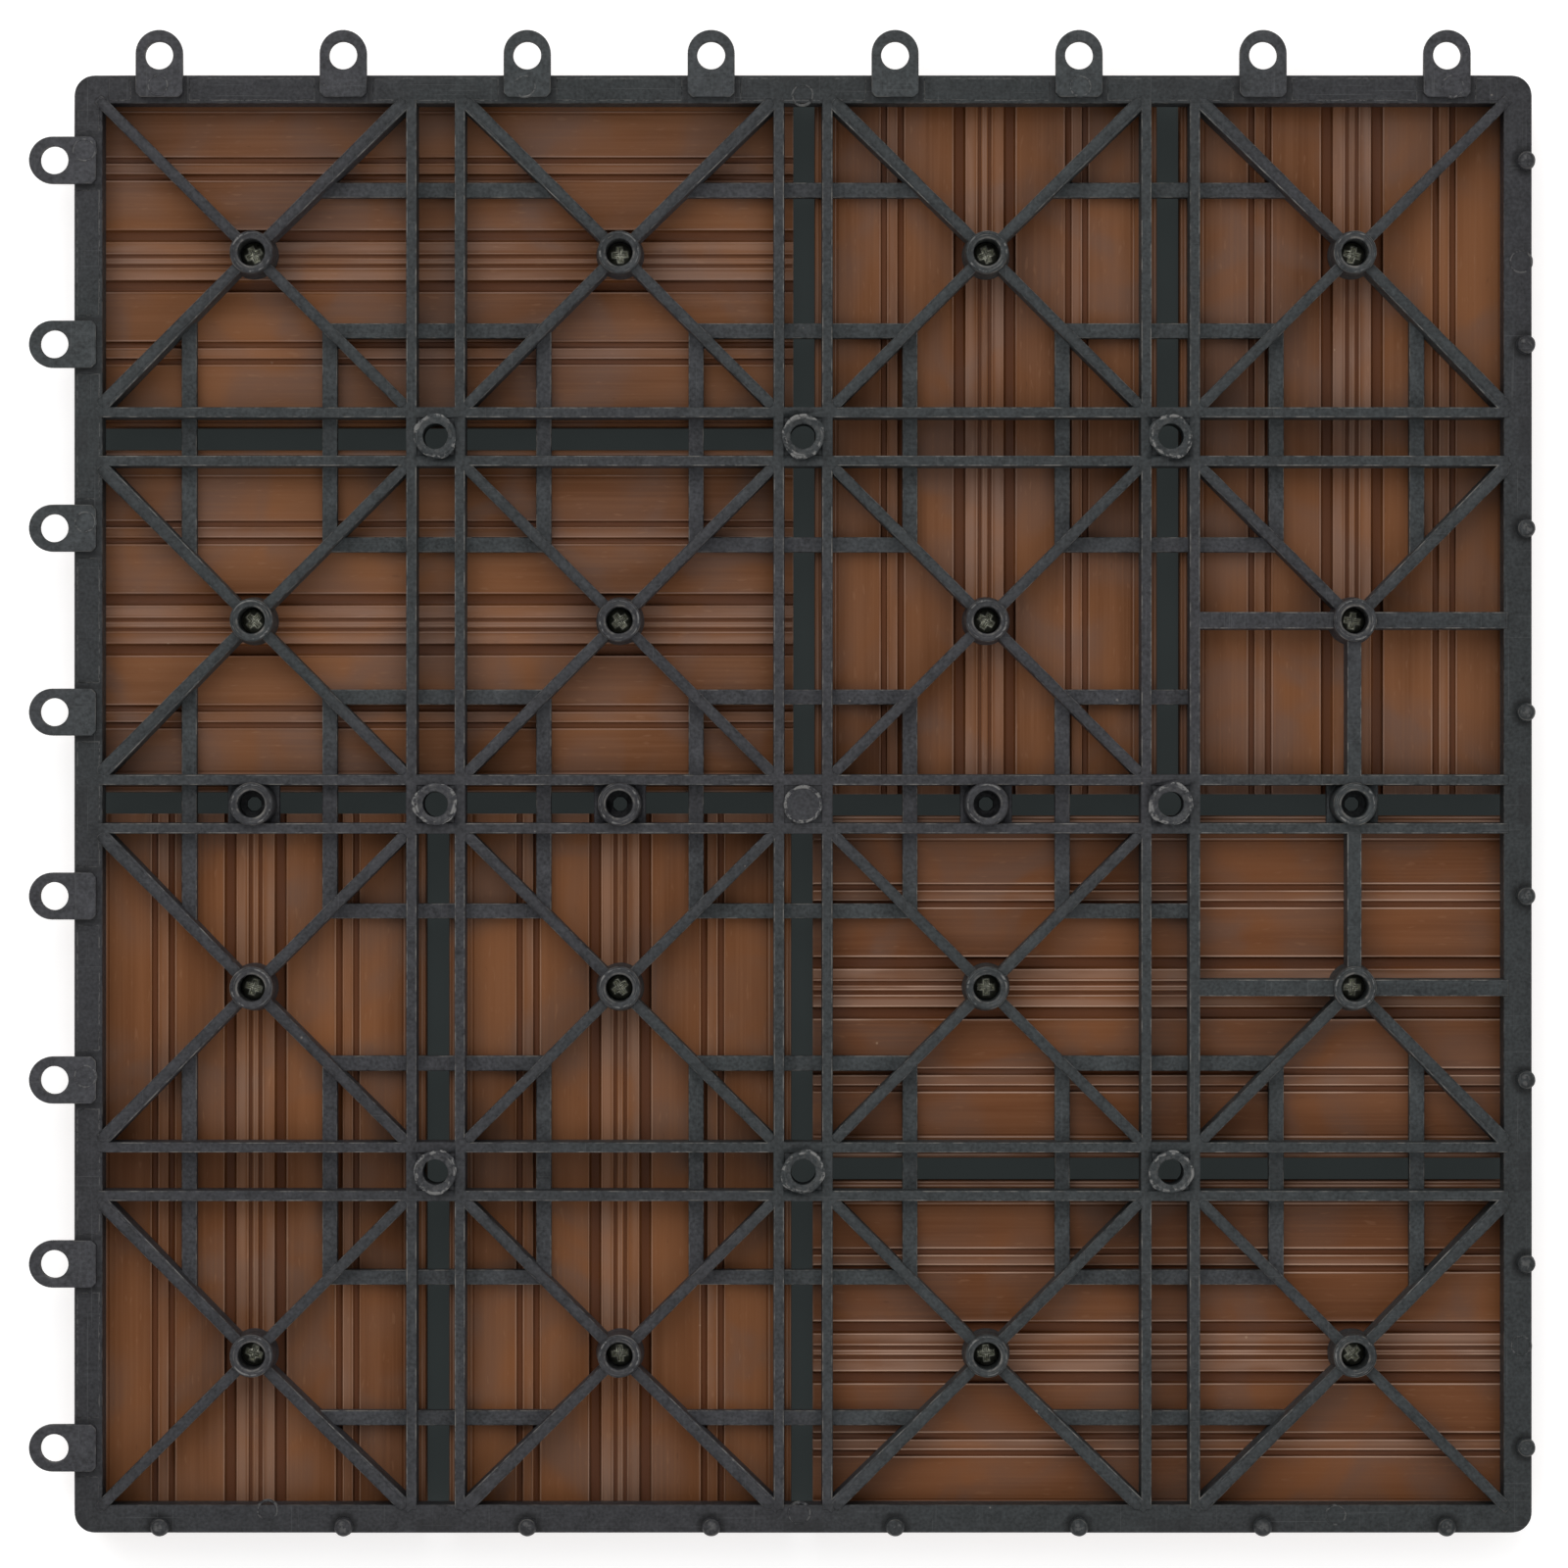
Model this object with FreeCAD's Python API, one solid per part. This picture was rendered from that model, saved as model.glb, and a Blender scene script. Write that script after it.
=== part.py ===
import FreeCAD, Part
import math
import os

# Interlocking deck tile of about 300 mm, lying with its walking faces down and
# its moulded grid up. Eight extruded composite slats in a basket weave are held
# to one moulded grid by sixteen screws. +X and +Y are the sides of the tile,
# +Z goes out of its underside, and z = 0 is the walking face. Loops stand out
# of the +Y and -X sides, and the pins that take a neighbour's loops stand on
# the +X and -Y sides. Millimetres.

# Layout
tile_module = 300.0
cells_per_side = 4
loops_per_side = 8
cell_pitch = tile_module / cells_per_side
loop_pitch = tile_module / loops_per_side

# Rim of the grid
joint_gap = 2.6
rim_width = 5.7
rim_height = 9.2
rim_corner_radius = 4.2
rim_pocket_radius = 1.0
rim_half = (tile_module - joint_gap) / 2
rim_inner = rim_half - rim_width

# Slats: two side by side in each quarter of the tile
slat_thickness = 10.0
slat_gap = 4.8
quarter_gap = 4.0
slat_inset = 1.8
slat_edge_chamfer = 0.9
slat_width = cell_pitch - slat_gap
slat_length = rim_half - slat_inset - quarter_gap / 2

# Grooves extruded into the underside of a slat, each pair by its distance from
# the middle, its width and its depth. The floor of a groove is a little narrower.
core_groove_at = 5.1
core_groove_width = 2.0
core_groove_depth = 1.5
inner_groove_at = 17.1
outer_groove_at = 20.7
fine_groove_width = 0.9
fine_groove_depth = 1.0
groove_floor_share = 0.8

# Shallow anti-slip grooves in the walking face
tread_grooves = 7
tread_pitch = 9.0
tread_width = 3.6
tread_depth = 0.9

# Ribs of the grid, with the small taper that lets a moulding leave its tool
rib_height = 9.5
rib_width = 2.1
rib_taper_deg = 0.75
rib_spacing = 9.9
rib_rim_overlap = 1.0
bar_height = 3.5
bar_width = 3.1
bar_inner_offset = 15.6
bar_outer_offset = 13.2
cross_bar_width = 3.4
drop_rib_width = 2.9

# Round forms that repeat inside the tile are drawn with this many flats. An
# outside form lies within its circle and a hole lies round its circle. The holes
# of the loops and the pins are true cylinders.
round_sides = 12
small_sides = 8

# Screw bosses, whose tips are the feet that the laid tile stands on
foot_height = 12.0
boss_tip_radius = 4.35
boss_root_radius = 4.9
boss_bore_radius = 2.75
boss_floor = 1.2
drain_hole_radius = 1.4
strip_boss_pad = 10.6
strip_boss_pad_height = 3.0

# Tubes at the crossings of the ribs
tube_radius = 4.25
tube_hole_radius = 2.6
blind_disc_radius = 3.75
blind_disc_rise = 1.4
crossing_plate_thickness = 2.0
crossing_plate_step = 0.3

# Loops and the pins that they drop over
loop_reach = 3.9
loop_hole_radius = 2.85
ear_width = 9.6
ear_thickness = 2.5
ear_tip_shift = 0.4
ear_seat_length = 4.6
ear_corner_chamfer = 0.9
pin_radius = 2.0
pin_rise = 2.8

# Screws
screw_head_radius = 2.45
screw_head_height = 1.6
screw_shank_radius = 1.3
screw_bite = 6.5
screw_hole_clearance = 0.05

# Levels above the walking face
grid_z = slat_thickness
rim_z = grid_z + rim_height
rib_z = grid_z + rib_height
bar_z = grid_z + bar_height
foot_z = grid_z + foot_height
boss_floor_z = grid_z + boss_floor

# Places worked out from the layout
cell_centres = [cell_pitch * (i - (cells_per_side - 1) / 2) for i in range(cells_per_side)]
strip_lines = [cell_pitch * (i - cells_per_side / 2) for i in range(1, cells_per_side)]
loop_places = [loop_pitch * (i - (loops_per_side - 1) / 2) for i in range(loops_per_side)]
loop_line = rim_half + loop_reach
pin_line = tile_module - loop_line

# The two cells of the last column beside the middle strip have half a cross
open_column = cells_per_side - 1
open_cells = {
    (open_column, cells_per_side // 2): 1,
    (open_column, cells_per_side // 2 - 1): -1,
}


def flat_face(corners):
    """A flat face on a closed outline."""
    return Part.Face(Part.makePolygon(corners + corners[:1]))


def prism(points, low, high):
    """A straight-sided solid on a closed outline of (x, y) points."""
    outline = flat_face([FreeCAD.Vector(x, y, low) for x, y in points])
    return outline.extrude(FreeCAD.Vector(0, 0, high - low))


def block(x_low, x_high, y_low, y_high, low, high):
    """A rectangular solid between two corners."""
    size = (x_high - x_low, y_high - y_low, high - low)
    return Part.makeBox(*size, FreeCAD.Vector(x_low, y_low, low))


def cylinder(x, y, radius, low, high):
    """A true upright cylinder, for the loops and pins that another tile meets."""
    return Part.makeCylinder(radius, high - low, FreeCAD.Vector(x, y, low))


def ring_of_points(x, y, radius, z, sides):
    """Corners evenly spaced on a circle."""
    angles = [2 * math.pi * (i + 0.5) / sides for i in range(sides)]
    return [FreeCAD.Vector(x + radius * math.cos(a), y + radius * math.sin(a), z) for a in angles]


def round_post(x, y, low_radius, high_radius, low, high, sides=round_sides):
    """A round outside form with flats, straight or tapered."""
    lower = ring_of_points(x, y, low_radius, low, sides)
    upper = ring_of_points(x, y, high_radius, high, sides)
    faces = [flat_face(lower), flat_face(upper)]
    for i in range(sides):
        faces.append(flat_face([lower[i - 1], lower[i], upper[i], upper[i - 1]]))
    return Part.Solid(Part.Shell(faces))


def round_hole(x, y, radius, low, high, sides=round_sides):
    """The solid that cuts a straight hole with flats that touch its circle."""
    corner_radius = radius / math.cos(math.pi / sides)
    return round_post(x, y, corner_radius, corner_radius, low, high, sides)


def rounded_square(half, radius, low, high):
    """A square solid about the middle with its upright corners rounded."""
    solid = block(-half, half, -half, half, low, high)
    upright = [e for e in solid.Edges if abs(e.Vertexes[0].Z - e.Vertexes[1].Z) > 1e-6]
    return solid.makeFillet(radius, upright)


def rib(start, end, width, low, high):
    """A tapered rib between two (x, y) points, as wide as stated along its top."""
    a = FreeCAD.Vector(start[0], start[1], 0)
    b = FreeCAD.Vector(end[0], end[1], 0)
    along = b - a
    side = FreeCAD.Vector(-along.y, along.x, 0).normalize()
    top = width / 2
    root = top + (high - low) * math.tan(math.radians(rib_taper_deg))
    section = [
        a + side * root + FreeCAD.Vector(0, 0, low),
        a + side * top + FreeCAD.Vector(0, 0, high),
        a - side * top + FreeCAD.Vector(0, 0, high),
        a - side * root + FreeCAD.Vector(0, 0, low),
    ]
    return flat_face(section).extrude(along)


def turned(shape, degrees):
    """A copy of a shape turned about the tile's upright axis."""
    copy = shape.copy()
    copy.rotate(FreeCAD.Vector(0, 0, 0), FreeCAD.Vector(0, 0, 1), degrees)
    return copy


def make_rim():
    """The square frame round the grid, with its corners rounded."""
    outer = rounded_square(rim_half, rim_corner_radius, grid_z, rim_z)
    inner = rounded_square(rim_inner, rim_pocket_radius, grid_z, rim_z)
    return outer.cut(inner)


def strip_ribs():
    """The pairs of long ribs that run both ways between the cells."""
    reach = rim_inner + rib_rim_overlap
    ribs = []
    for line in strip_lines:
        for side in (-1, 1):
            across = line + side * rib_spacing / 2
            ribs.append(rib((-reach, across), (reach, across), rib_width, grid_z, rib_z))
            ribs.append(rib((across, -reach), (across, reach), rib_width, grid_z, rib_z))
    return ribs


def cell_edge(index, side):
    """Where a cell's diagonal ends along one axis: in the next rib or in the rim."""
    if index + side not in range(cells_per_side):
        return side * (rim_inner + rib_rim_overlap)
    strip_line = cell_centres[index] + side * cell_pitch / 2
    return strip_line - side * rib_spacing / 2


def diagonal_end(column, row, side_x, side_y):
    """The corner of a cell in which one of its diagonals ends."""
    return (cell_edge(column, side_x), cell_edge(row, side_y))


def cell_ribs():
    """The diagonals from each screw boss, and the half crosses of the open cells."""
    ribs = []
    for column, x in enumerate(cell_centres):
        for row, y in enumerate(cell_centres):
            kept_side = open_cells.get((column, row))
            for side_x in (-1, 1):
                for side_y in (-1, 1):
                    if kept_side in (None, side_y):
                        corner = diagonal_end(column, row, side_x, side_y)
                        ribs.append(rib((x, y), corner, rib_width, grid_z, rib_z))
            if kept_side is not None:
                left = (cell_edge(column, -1), y)
                right = (cell_edge(column, 1), y)
                ribs.append(rib(left, right, cross_bar_width, grid_z, rib_z))
                drop = (x, cell_edge(row, -kept_side))
                ribs.append(rib((x, y), drop, drop_rib_width, grid_z, rib_z))
    return ribs


def bar_end(column, row, side_x, side_y, x):
    """How far a low bar at x reaches in y: to the middle of the cell's diagonal."""
    corner = diagonal_end(column, row, side_x, side_y)
    slope = (corner[1] - cell_centres[row]) / (corner[0] - cell_centres[column])
    return cell_centres[row] + (x - cell_centres[column]) * slope


def low_bars():
    """The low bars that cross each strip from diagonal to diagonal, both ways."""
    bars = []
    for line, centre in enumerate(cell_centres):
        for side in (-1, 1):
            beside_rim = line + side not in range(cells_per_side)
            offset = bar_outer_offset if beside_rim else bar_inner_offset
            edges = [centre + side * offset + half * bar_width / 2 for half in (-1, 1)]
            for strip in range(cells_per_side - 1):
                start = [bar_end(line, strip, side, 1, x) for x in edges]
                stop = [bar_end(line, strip + 1, side, -1, x) for x in edges]
                along_y = [(edges[0], start[0]), (edges[1], start[1]),
                           (edges[1], stop[1]), (edges[0], stop[0])]
                if not {(line, strip), (line, strip + 1)} <= set(open_cells):
                    bars.append(prism(along_y, grid_z, bar_z))
                along_x = [(y, x) for x, y in along_y]
                along_x = stop_at_open_cell(along_x, strip + 1, line, side)
                bars.append(prism(along_x, grid_z, bar_z))
    return bars


def stop_at_open_cell(outline, column, row, side):
    """A bar along X into a cell, cut short at the strip where that half is open."""
    kept_side = open_cells.get((column, row))
    if kept_side in (None, side):
        return outline
    edge = cell_edge(column, -1)
    return [(min(x, edge), y) for x, y in outline]


def bosses():
    """Tapered screw bosses at the cell centres and along the middle strip."""
    solids = []
    for x in cell_centres:
        for y in cell_centres + [0.0]:
            solids.append(round_post(x, y, boss_root_radius, boss_tip_radius, grid_z, foot_z))
        half = strip_boss_pad / 2
        solids.append(block(x - half, x + half, -rib_spacing / 2, rib_spacing / 2,
                            grid_z, grid_z + strip_boss_pad_height))
    return solids


def boss_bores():
    """The bores of the bosses, and the smaller hole in the floor of each."""
    holes = []
    for x in cell_centres:
        for y in cell_centres + [0.0]:
            holes.append(round_hole(x, y, boss_bore_radius, boss_floor_z, foot_z))
            floor_hole = drain_hole_radius
            if y != 0.0:
                floor_hole = screw_shank_radius + screw_hole_clearance
            holes.append(round_hole(x, y, floor_hole, grid_z, boss_floor_z, small_sides))
    return holes


def crossings():
    """A plate and a tube where two strips cross, closed with a disc in the middle."""
    solids = []
    half = rib_spacing / 2
    top = rib_z - crossing_plate_step
    for x in strip_lines:
        for y in strip_lines:
            solids.append(block(x - half, x + half, y - half, y + half,
                                top - crossing_plate_thickness, top))
            if x == 0 and y == 0:
                disc_top = top + blind_disc_rise
                solids.append(round_post(x, y, blind_disc_radius, blind_disc_radius, top, disc_top))
            else:
                solids.append(round_post(x, y, tube_radius, tube_radius, grid_z, foot_z))
    return solids


def crossing_holes():
    """The holes through the open tubes."""
    return [
        round_hole(x, y, tube_hole_radius, grid_z, foot_z)
        for x in strip_lines for y in strip_lines if x != 0 or y != 0
    ]


def make_ear():
    """One loop: a flat plate on the rim's face with a round end and a hole past it."""
    half = ear_width / 2
    tip_y = loop_line + ear_tip_shift
    seat_y = rim_half - ear_seat_length
    corner = ear_corner_chamfer
    sides = [(half, tip_y), (half, seat_y + corner), (half - corner, seat_y),
             (corner - half, seat_y), (-half, seat_y + corner), (-half, tip_y)]
    points = [FreeCAD.Vector(x, y, rim_z) for x, y in sides]
    round_end = Part.Arc(points[-1], FreeCAD.Vector(0, tip_y + half, rim_z), points[0])
    outline = Part.Wire(Part.makePolygon(points).Edges + [round_end.toShape()])
    plate = Part.Face(outline).extrude(FreeCAD.Vector(0, 0, ear_thickness))
    return plate.cut(cylinder(0, loop_line, loop_hole_radius, rim_z, rim_z + ear_thickness))


def make_pin():
    """One pin: a round shaft on the rim's face, and its root that runs down the wall."""
    root = round_post(0, pin_line, pin_radius, pin_radius, grid_z, rim_z, small_sides)
    return [root, cylinder(0, pin_line, pin_radius, rim_z, rim_z + pin_rise)]


def along_side(shapes, degrees):
    """Copies of shapes made for the +Y side, at each loop's place on a turned side."""
    copies = []
    for place in loop_places:
        for shape in shapes:
            copy = shape.copy()
            copy.translate(FreeCAD.Vector(place, 0, 0))
            copies.append(turned(copy, degrees))
    return copies


def make_base_grid():
    """The one moulded piece: rim, ribs, bars, bosses, tubes, loops and pins."""
    added = strip_ribs() + cell_ribs() + low_bars() + bosses() + crossings()
    added += along_side([make_ear()], 0) + along_side([make_ear()], 90)
    added += along_side(make_pin(), -90) + along_side(make_pin(), 180)
    grid = make_rim().multiFuse(added)
    grid = grid.cut(Part.makeCompound(boss_bores() + crossing_holes()))
    return grid.removeSplitter()


def tread_groove(centre):
    """The three corners of a shallow groove in the walking face."""
    half = tread_width / 2
    return [(centre - half, 0.0), (centre, tread_depth), (centre + half, 0.0)]


def under_groove(centre, width, depth):
    """The corners of a groove in the underside, which narrows a little as it deepens."""
    half = width / 2
    floor_half = half * groove_floor_share
    floor = slat_thickness - depth
    return [(centre + half, slat_thickness), (centre + floor_half, floor),
            (centre - floor_half, floor), (centre - half, slat_thickness)]


def slat_outline():
    """A slat's section as (x, z) points: the walking face out, the underside back."""
    half = slat_width / 2
    points = [(-half, slat_edge_chamfer), (slat_edge_chamfer - half, 0.0)]
    for i in range(tread_grooves):
        points += tread_groove(tread_pitch * (i - (tread_grooves - 1) / 2))
    points += [(half - slat_edge_chamfer, 0.0), (half, slat_edge_chamfer), (half, slat_thickness)]
    grooves = []
    for side in (-1, 1):
        grooves.append((side * core_groove_at, core_groove_width, core_groove_depth))
        grooves.append((side * inner_groove_at, fine_groove_width, fine_groove_depth))
        grooves.append((side * outer_groove_at, fine_groove_width, fine_groove_depth))
    for centre, width, depth in sorted(grooves, reverse=True):
        points += under_groove(centre, width, depth)
    return points + [(-half, slat_thickness)]


def make_slat():
    """One extruded slat along +Y, from the middle gap outwards, about x = 0."""
    start = quarter_gap / 2
    corners = [FreeCAD.Vector(x, start, z) for x, z in slat_outline()]
    solid = flat_face(corners).extrude(FreeCAD.Vector(0, slat_length, 0))
    pilot_radius = screw_shank_radius + screw_hole_clearance
    pilots = [
        round_hole(0, y, pilot_radius, slat_thickness - screw_bite, slat_thickness, small_sides)
        for y in cell_centres if y > 0
    ]
    return solid.cut(Part.makeCompound(pilots))


def make_slats():
    """Two slats in each quarter, each quarter turned a right angle from the next."""
    slats = {}
    quarters = {
        "north_east": 0,
        "north_west": 90,
        "south_west": 180,
        "south_east": 270,
    }
    places = {"inner": cell_centres[-2], "outer": cell_centres[-1]}
    for quarter, degrees in quarters.items():
        for place, x in places.items():
            slat = make_slat()
            slat.translate(FreeCAD.Vector(x, 0, 0))
            slats["slat_" + quarter + "_" + place] = turned(slat, degrees)
    return slats


def make_screws():
    """The sixteen screws, as separate solids: a pan head on the boss floor and a shank."""
    screws = []
    for x in cell_centres:
        for y in cell_centres:
            head = round_post(x, y, screw_head_radius, screw_head_radius,
                              boss_floor_z, boss_floor_z + screw_head_height)
            shank = round_post(x, y, screw_shank_radius, screw_shank_radius,
                               slat_thickness - screw_bite, boss_floor_z, small_sides)
            screws.append(head.fuse(shank))
    return Part.makeCompound(screws)


nodes = {"base_grid": make_base_grid()}
nodes.update(make_slats())
nodes["slat_screws"] = make_screws()

os.makedirs("parts", exist_ok=True)
for name, shape in nodes.items():
    shape.exportStep(os.path.join("parts", name + ".step"))
    print(name, len(shape.Solids), "solids", round(shape.Volume / 1000, 1), "cm3", shape.isValid())
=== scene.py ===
import math
import bmesh
import bpy
import numpy as np
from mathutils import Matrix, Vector


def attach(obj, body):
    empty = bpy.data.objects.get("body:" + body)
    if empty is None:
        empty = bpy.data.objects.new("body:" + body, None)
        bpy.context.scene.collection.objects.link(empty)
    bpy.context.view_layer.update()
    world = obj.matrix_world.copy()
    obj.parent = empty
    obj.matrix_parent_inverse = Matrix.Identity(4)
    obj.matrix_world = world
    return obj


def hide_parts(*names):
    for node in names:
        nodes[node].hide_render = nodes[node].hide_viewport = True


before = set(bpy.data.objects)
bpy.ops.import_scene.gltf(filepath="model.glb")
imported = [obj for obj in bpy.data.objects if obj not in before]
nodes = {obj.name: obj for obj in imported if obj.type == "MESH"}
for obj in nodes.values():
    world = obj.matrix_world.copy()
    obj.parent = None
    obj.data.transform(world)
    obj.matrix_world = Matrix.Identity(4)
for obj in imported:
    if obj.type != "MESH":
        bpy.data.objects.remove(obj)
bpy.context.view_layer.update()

# Sizes in millimetres, as the part's own. z = 0 is the walking face.
MM = 0.001
CELL_PITCH = 75.0
LOOP_PITCH = 37.5
CELL = [CELL_PITCH * (i - 1.5) for i in range(4)]
STRIP = [-CELL_PITCH, 0.0, CELL_PITCH]
LOOPS = [LOOP_PITCH * (i - 3.5) for i in range(8)]
CROSSINGS = [(x, y) for x in STRIP for y in STRIP if x or y]
GRID_Z = 10.0
RIM_Z = 19.2
RIB_Z = 19.5
FOOT_Z = 22.0
RIM_HALF = 148.7
RIM_INNER = 143.0
PIN_LINE = 147.4
RIB_OFFSET = 4.95
EAR_HALF = 4.8
EAR_Z = 21.7


def quads(rows, columns, first=0, wrap_rows=False, wrap_columns=True):
    """Corner numbers of the squares of a grid of points, numbered row by row.

    Square (r, c) has the corners (r, c), (r, c+1), (r+1, c+1), (r+1, c). A wrapped
    direction joins its last line of points to its first.
    """
    r = np.arange(rows if wrap_rows else rows - 1)[:, None]
    c = np.arange(columns if wrap_columns else columns - 1)[None, :]
    down = (r + 1) % rows
    right = (c + 1) % columns
    corners = [r * columns + c, r * columns + right, down * columns + right, down * columns + c]
    corners = [np.broadcast_to(corner, (r.size, c.size)) for corner in corners]
    return first + np.stack(corners, -1).reshape(-1, 4)


def make_piece(name, points, faces, material, node=None, smooth_angle=35.0):
    """A mesh from points in millimetres, riding on the tile, with its slot and node."""
    mesh = bpy.data.meshes.new(name)
    mesh.from_pydata((np.asarray(points) * MM).tolist(), [], faces)
    piece = bpy.data.objects.new(name, mesh)
    bpy.context.scene.collection.objects.link(piece)
    finish_piece(piece, material, node, smooth_angle)
    return piece


def finish_piece(piece, material, node=None, smooth_angle=35.0):
    """Gives a piece its normals, its material, its body and the node it stands for."""
    mesh = piece.data
    work = bmesh.new()
    work.from_mesh(mesh)
    bmesh.ops.remove_doubles(work, verts=work.verts, dist=1e-7)
    bmesh.ops.recalc_face_normals(work, faces=work.faces)
    work.to_mesh(mesh)
    work.free()
    mesh.shade_smooth()
    mesh.set_sharp_from_angle(angle=math.radians(smooth_angle))
    mesh.materials.clear()
    mesh.materials.append(material)
    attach(piece, "root")
    if node:
        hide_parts(node)


def mesh_points(mesh):
    """The corners of a mesh as an array, in millimetres."""
    flat = np.empty(len(mesh.vertices) * 3, np.float32)
    mesh.vertices.foreach_get("co", flat)
    return flat.reshape(-1, 3).astype(float) / MM


def capped(rows, columns, first=0):
    """Faces of a tube of rings, closed at both its ends by a face of its own."""
    last = first + (rows - 1) * columns
    ends = [list(range(first, first + columns)), list(range(last, last + columns))]
    return quads(rows, columns, first).tolist() + ends


def ripple(angle, seed, waves=(2, 3, 5, 8, 13)):
    """An uneven ring: the sum of a few cosines of the angle, each wave w with a height
    of 1/w and its own starting angle, scaled to lie within -1 and 1."""
    start = np.random.default_rng(seed).uniform(0, 2 * math.pi, len(waves))
    total = sum(np.cos(w * angle + s) / w for w, s in zip(waves, start))
    return total / sum(1 / w for w in waves)


TIP_DEPTH = 1.2


def turned_rings(profile, centre, seed, sides=48, uneven=0.0, flare=0.0):
    """Points of a form turned about an upright axis through centre.

    Point (i, a) is at radius r_i (1 + uneven ripple(a)) and height z_i. Near the top of
    the profile, heights sink by up to flare times a ripple between 0 and 1, and within
    TIP_DEPTH under it this fades out.
    """
    profile = np.asarray(profile, float)
    angle = np.linspace(0, 2 * math.pi, sides, endpoint=False)[None, :]
    radius = profile[:, :1] * (1 + uneven * ripple(angle, seed))
    top = profile[:, 1].max()
    share = np.clip((profile[:, 1:] - top + TIP_DEPTH) / TIP_DEPTH, 0, 1) ** 2
    height = profile[:, 1:] - flare * share * (0.5 + 0.5 * ripple(angle, seed + 1))
    x = centre[0] + radius * np.cos(angle)
    y = centre[1] + radius * np.sin(angle)
    return np.stack([x, y, np.broadcast_to(height, x.shape)], -1).reshape(-1, 3)


def set_values(mesh, name, values):
    """Stores one number on each corner point of a mesh, for its material to read."""
    layer = mesh.attributes.get(name) or mesh.attributes.new(name, "FLOAT", "POINT")
    layer.data.foreach_set("value", np.asarray(values, np.float32))


def rings_piece(name, forms, material, sides=48, smooth_angle=35.0, pale=0.0):
    """One mesh of many turned forms. A form is (profile, centre, seed, closed, uneven,
    flare): a closed profile is a ring, and an open one is capped at both its ends. Pale
    says how much of the piece is rough light flash."""
    points, faces, first = [], [], 0
    for profile, centre, seed, closed, uneven, flare in forms:
        rows = len(profile)
        points.append(turned_rings(profile, centre, seed, sides, uneven, flare))
        if closed:
            faces.extend(quads(rows, sides, first, wrap_rows=True).tolist())
        else:
            faces.extend(capped(rows, sides, first))
        first += rows * sides
    piece = make_piece(name, np.concatenate(points), faces, material, None, smooth_angle)
    set_values(piece.data, "pale_flash", np.full(len(piece.data.vertices), pale))
    return piece


def add(tree, kind, inputs=None, **settings):
    """A shader node with its settings, and its inputs set to values or linked."""
    node = tree.nodes.new(kind)
    for key, value in settings.items():
        setattr(node, key, value)
    for key, value in (inputs or {}).items():
        if isinstance(value, bpy.types.NodeSocket):
            tree.links.new(value, node.inputs[key])
        else:
            node.inputs[key].default_value = value
    return node


def maths(tree, operation, a, b=0.0):
    """The output of one Math node."""
    return add(tree, "ShaderNodeMath", {0: a, 1: b}, operation=operation).outputs[0]


def product(tree, first, *others):
    """The product of two or more values."""
    for other in others:
        first = maths(tree, "MULTIPLY", first, other)
    return first


def largest(tree, first, *others):
    """The largest of two or more values."""
    for other in others:
        first = maths(tree, "MAXIMUM", first, other)
    return first


def without(tree, mask, share=1.0):
    """What a mask leaves: 1, less a share of it."""
    return maths(tree, "SUBTRACT", 1.0, product(tree, mask, share))


def fade(tree, value, low, high, out_low=0.0, out_high=1.0):
    """A smooth step of a value from low to high."""
    inputs = {0: value, 1: low, 2: high, 3: out_low, 4: out_high}
    return add(tree, "ShaderNodeMapRange", inputs, interpolation_type="SMOOTHSTEP").outputs[0]


def fade_mm(tree, length, low, high, out_low=0.0, out_high=1.0):
    """A smooth step of a length in metres, between two lengths in millimetres."""
    return fade(tree, length, low * MM, high * MM, out_low, out_high)


def noise(tree, vector, scale, detail=2.0, roughness=0.5, distortion=0.0):
    """The grey output of one noise texture, with its scale in cells per metre."""
    inputs = {"Vector": vector, "Scale": scale, "Detail": detail,
              "Roughness": roughness, "Distortion": distortion}
    return add(tree, "ShaderNodeTexNoise", inputs).outputs[0]


def blend(tree, factor, a, b, blend_type="MIX"):
    """Two colours mixed by a factor. A plain colour is (red, green, blue)."""
    a, b = [(*colour, 1.0) if isinstance(colour, tuple) else colour for colour in (a, b)]
    return add(tree, "ShaderNodeMix", {0: factor, 6: a, 7: b},
               data_type="RGBA", blend_type=blend_type).outputs[2]


def layered(tree, colour, layers):
    """A colour under layers, each a mask and the colour that it lays on."""
    for mask, layer in layers:
        colour = blend(tree, mask, colour, layer)
    return colour


def stretched(tree, vector, scale):
    """A vector scaled along each axis, to draw a pattern out."""
    return add(tree, "ShaderNodeMapping", {"Vector": vector, "Scale": scale}).outputs[0]


def new_group(name, inputs, outputs):
    """An empty shader node group with named sockets, and its two end nodes."""
    group = bpy.data.node_groups.new(name, "ShaderNodeTree")
    for socket, kind, value in inputs:
        made = group.interface.new_socket(name=socket, in_out="INPUT", socket_type=kind)
        if value is not None:
            made.default_value = value
    for socket, kind in outputs:
        group.interface.new_socket(name=socket, in_out="OUTPUT", socket_type=kind)
    return group, group.nodes.new("NodeGroupInput"), group.nodes.new("NodeGroupOutput")


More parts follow.
